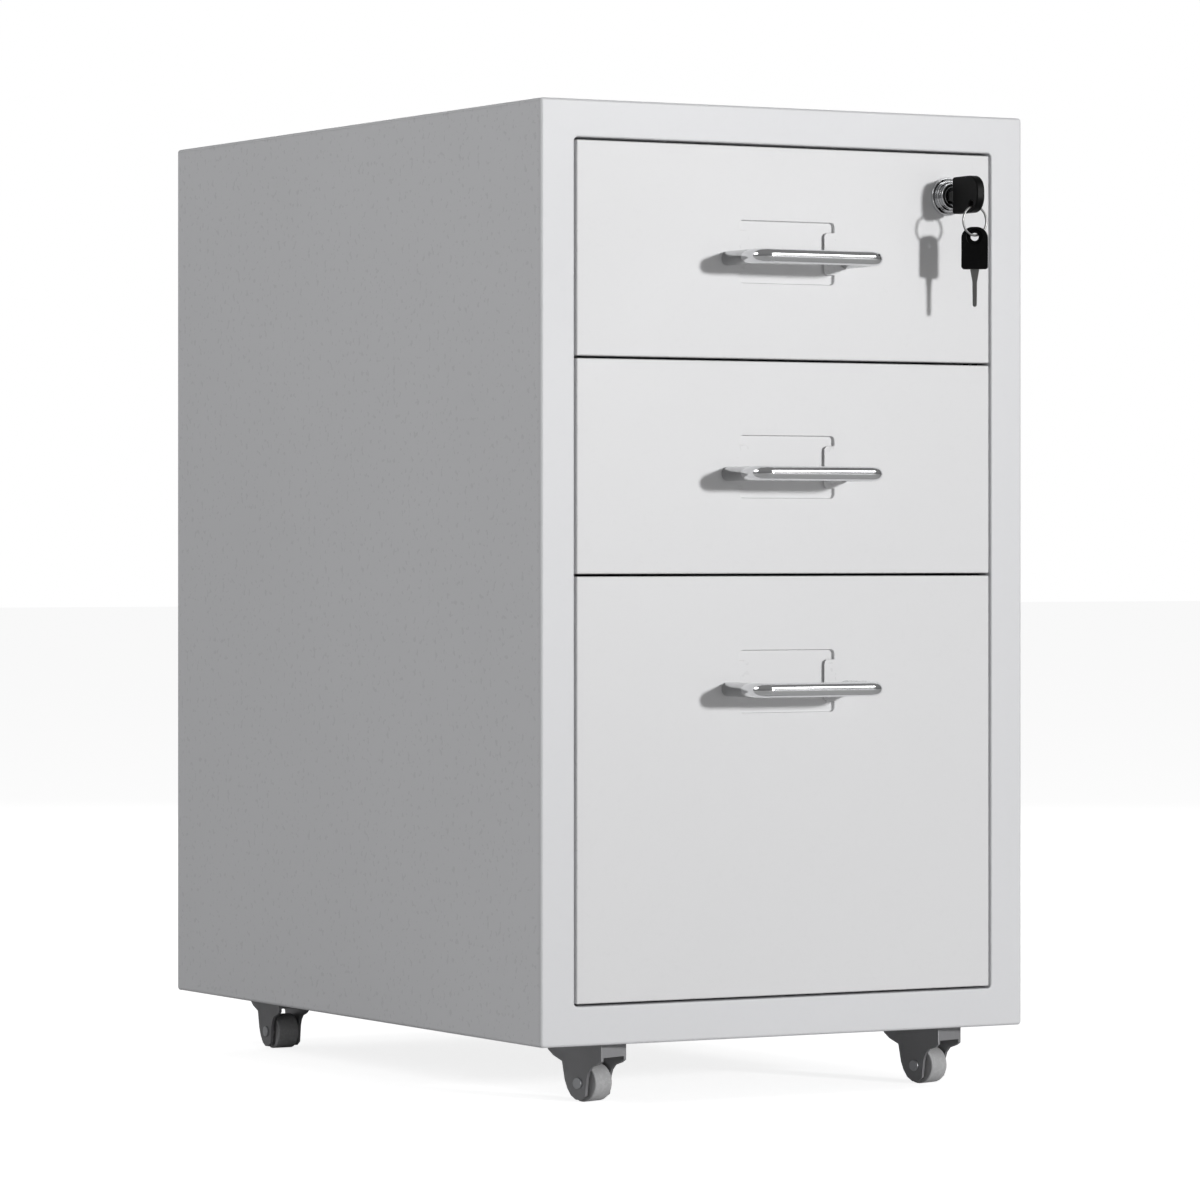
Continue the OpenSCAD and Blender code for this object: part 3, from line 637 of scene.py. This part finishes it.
def makeFront(n):
    d = drawer
    low, high = frontBoxes[n - 1]
    halfX, halfZ, midZ = high[0], (high[2] - low[2]) / 2, (high[2] + low[2]) / 2
    pocketX, pocketZ, pocketMid = d["pocketW"] / 2, d["pocketH"] / 2, high[2] - d["pocketDrop"]
    rings = [(halfX, halfZ, d["corner"], midZ, frontY + d["deep"])]
    rings += outEdge(halfX, halfZ, d["corner"], midZ, frontY, d["edge"])
    rings += inEdge(pocketX, pocketZ, d["pocketCorner"], pocketMid, frontY, d["pocketEdge"])
    r = d["floorArc"]
    for t in quarter:
        inset = r * (1 - math.cos(t))
        rings.append((pocketX - inset, pocketZ - inset, d["pocketCorner"] - inset, pocketMid,
                      frontY + d["pocketDeep"] - r * (1 - math.sin(t))))
    makePiece(f"front_{n}", [surface(stack(rings), closeCols=True, caps="last")], f"drawer_{n}", frontPaint,
              [f"drawer_front_{n}"], solid=d["wall"], fixNormals=False)
    makeLips(n, pocketX, pocketMid)


def makeLips(n, pocketX, midZ):
    # a thin tongue at each end of the pocket, its free corners rounded, level with the drawer's face
    d = drawer
    parts = []
    half, r, inner, outer = d["lipH"] / 2, d["lipCorner"], pocketX - d["lipW"], pocketX + 1.6 * mm
    for side in (-1, 1):
        outline = np.concatenate([arcLine((inner + r, r - half), r, 270, 180),
                                  arcLine((inner + r, half - r), r, 180, 90), [(outer, half), (outer, -half)]])
        mid = outline.mean(axis=0)
        rows = []
        for inset, y in ((0.0, 0.9), (0.0, 0.25), (0.07, 0.07), (0.25, -0.02)):
            ring = outline + (mid - outline) / np.abs(outline - mid).max() * inset * mm
            level = np.full(len(ring), frontY + y * mm)
            rows.append(np.stack([side * ring[:, 0], level, ring[:, 1] + midZ], axis=-1))
        parts.append(surface(np.array(rows), closeCols=True, caps="first last"))
    makePiece(f"card_lips_{n}", parts, f"drawer_{n}", frontPaint)


def makeTray(n):
    # walls that rise from a rounded floor and roll inwards along their top edge
    d = drawer
    low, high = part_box(f"drawer_tray_{n}")
    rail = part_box(f"drawer_rails_{n}")
    trayX, start, end = rail[1][0] - d["trayIn"], frontY + d["deep"] + 0.3 * mm, high[1]
    floorZ, tall = low[2] + d["trayUp"], d["tall"][n]
    halfY, midY, r, hem = (end - start) / 2, (end + start) / 2, d["trayFold"], d["hem"]
    rings = []
    for t in quarter:
        inset, rise = r * (1 - math.sin(t)), r * (1 - math.cos(t))
        rings.append((trayX - inset, halfY - inset, 3 * mm - inset, midY, floorZ + rise))
    for t in np.linspace(0, math.pi * 1.12, 9):
        inset = hem * (1 - math.cos(t))
        rings.append((trayX - inset, halfY - inset, 3 * mm - min(inset, 2.2 * mm), midY,
                      floorZ + tall - hem + hem * math.sin(t)))
    makePiece(f"tray_{n}", [surface(stack(rings, upright=False), closeCols=True, caps="first")], f"drawer_{n}",
              trayPaint, [f"drawer_tray_{n}"], solid=d["wall"], fixNormals=False)
    # the flat plate that closes the back of the front panel
    plateLow, plateHigh = frontBoxes[n - 1]
    halfX, halfZ = plateHigh[0] - d["plateIn"], (plateHigh[2] - plateLow[2]) / 2 - d["plateIn"]
    mid = (plateHigh[2] + plateLow[2]) / 2
    back, face = frontY + d["deep"], frontY + d["deep"] - 0.9 * mm
    rings = [(halfX - 0.3 * mm, halfZ - 0.3 * mm, 1.5 * mm, mid, back),
             (halfX, halfZ, 1.8 * mm, mid, back - 0.3 * mm), (halfX, halfZ, 1.8 * mm, mid, face)]
    makePiece(f"back_plate_{n}", [surface(stack(rings), closeCols=True, caps="first last")], f"drawer_{n}",
              trayPaint)


def makeHandle(n):
    low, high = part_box(f"handle_{n}")
    z, rod = (low[2] + high[2]) / 2, (high[2] - low[2]) / 2
    x, y = high[0] - rod, low[1] + rod
    foot = frontY + 0.05 * mm
    path = filleted([(x, foot, z), (x, y, z), (-x, y, z), (-x, foot, z)], drawer["bend"], 14)
    makePiece(f"pull_{n}", [tube(path, rod, around=40)], f"drawer_{n}", handleChrome,
              [f"handle_{n}"])


def makeSlides(n):
    roundedCopy(f"middle_rails_{n}", f"slide_{n}", zincPlate, drawer["fittingEdge"])
    roundedCopy(f"drawer_rails_{n}", f"drawer_{n}", zincPlate, drawer["fittingEdge"])
    roundedCopy(f"handle_screws_{n}", f"drawer_{n}", zincPlate, drawer["fittingEdge"])
    roundedCopy(f"lock_stud_{n}", f"drawer_{n}", zincPlate, drawer["studEdge"])


for n in drawerNumbers:
    makeFront(n)
    makeTray(n)
    makeHandle(n)
    makeSlides(n)
roundedCopy("file_bars", "drawer_3", zincPlate, drawer["studEdge"])
print("drawers made")


# ---------- the lock and its keys ----------
lock = {"bore": 6.5 * mm, "barrel": 9.2 * mm, "back": 19.5 * mm,
        "steps": ((13.5, 2.5, 0.8), (10.8, 5.0, 0.6), (9.0, 8.0, 0.7))}


def makeLock():
    # the housing's half section: bore, barrel, then the collar's three steps, each (radius, height, edge radius)
    corners = [(-10 * mm, lock["bore"]), (-lock["back"], lock["bore"]), (-lock["back"], lock["barrel"]),
               (0.05 * mm, lock["barrel"])]
    corners.append((0.05 * mm, lock["steps"][0][0] * mm))
    radii = [0.3 * mm, 0.3 * mm, 0.1 * mm, 0.2 * mm]
    for k, (radius, height, edge) in enumerate(lock["steps"]):
        corners.append((height * mm, radius * mm))
        radii.append(edge * mm)
        if k < len(lock["steps"]) - 1:
            corners.append((height * mm, lock["steps"][k + 1][0] * mm))
            radii.append(0.25 * mm)
    corners += [(8 * mm, lock["bore"]), (-10 * mm, lock["bore"])]
    radii += [0.3 * mm]
    housing = lathe(filleted(corners, radii)[:-1], (lockX, frontY, lockZ), (0, -1, 0), around=96, closed=True)
    makePiece("lock_collar", [housing], "drawer_1", lockChrome, ["lock_housing"])
    roundedCopy("lock_nut", "drawer_1", zincPlate, 0.4 * mm)
    roundedCopy("lock_plug", "plug", lockChrome, 0.3 * mm)
    roundedCopy("lock_cam", "plug", zincPlate, 0.3 * mm)
    roundedCopy("cam_screw", "plug", zincPlate, 0.4 * mm)
    roundedCopy("lock_bar", "lock_bar", zincUpright, 0.3 * mm)


keys = {"bladeEdge": 0.25 * mm, "headEdge": 1.1 * mm, "spareBladeEdge": 0.4 * mm, "wire": 0.8 * mm, "ringYaw": 5}


def makeKeys():
    roundedCopy("key_blade", "key", keyNickel, keys["bladeEdge"])
    roundedCopy("key_head", "key", keyPlastic, keys["headEdge"])
    roundedCopy("spare_head", "spare_key", keyPlastic, keys["headEdge"])
    low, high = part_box("key_ring")
    wire = keys["wire"]
    middle = (np.array(low) + np.array(high)) / 2
    r = (high[2] - low[2]) / 2 - wire
    turn = np.linspace(0, 2 * math.pi, 96, endpoint=False)
    yaw = math.radians(keys["ringYaw"])
    across = np.array((math.cos(yaw), math.sin(yaw), 0))
    path = middle + r * (np.cos(turn)[:, None] * across + np.sin(turn)[:, None] * np.array((0, 0, 1.0)))
    makePiece("split_ring", [tube(path, wire, around=16, closed=True)], "ring", keyNickel, ["key_ring"])
    roundedCopy("spare_blade", "spare_key", keyNickel, keys["spareBladeEdge"])


makeLock()
makeKeys()
print("lock and keys made")


# ---------- the casters ----------
caster = {"forkEdge": 0.6 * mm, "axleEdge": 0.35 * mm, "treadEdge": 1.2 * mm}


def makeCaster(n):
    roundedCopy(f"caster_fork_{n}", f"caster_{n}", forkSteel, caster["forkEdge"])
    roundedCopy(f"caster_axle_{n}", f"caster_{n}", zincPlate, caster["axleEdge"])
    roundedCopy(f"caster_wheel_{n}", f"wheel_{n}", wheelPlastic, caster["treadEdge"])


for n in (1, 2, 3, 4):
    makeCaster(n)
print("casters made")
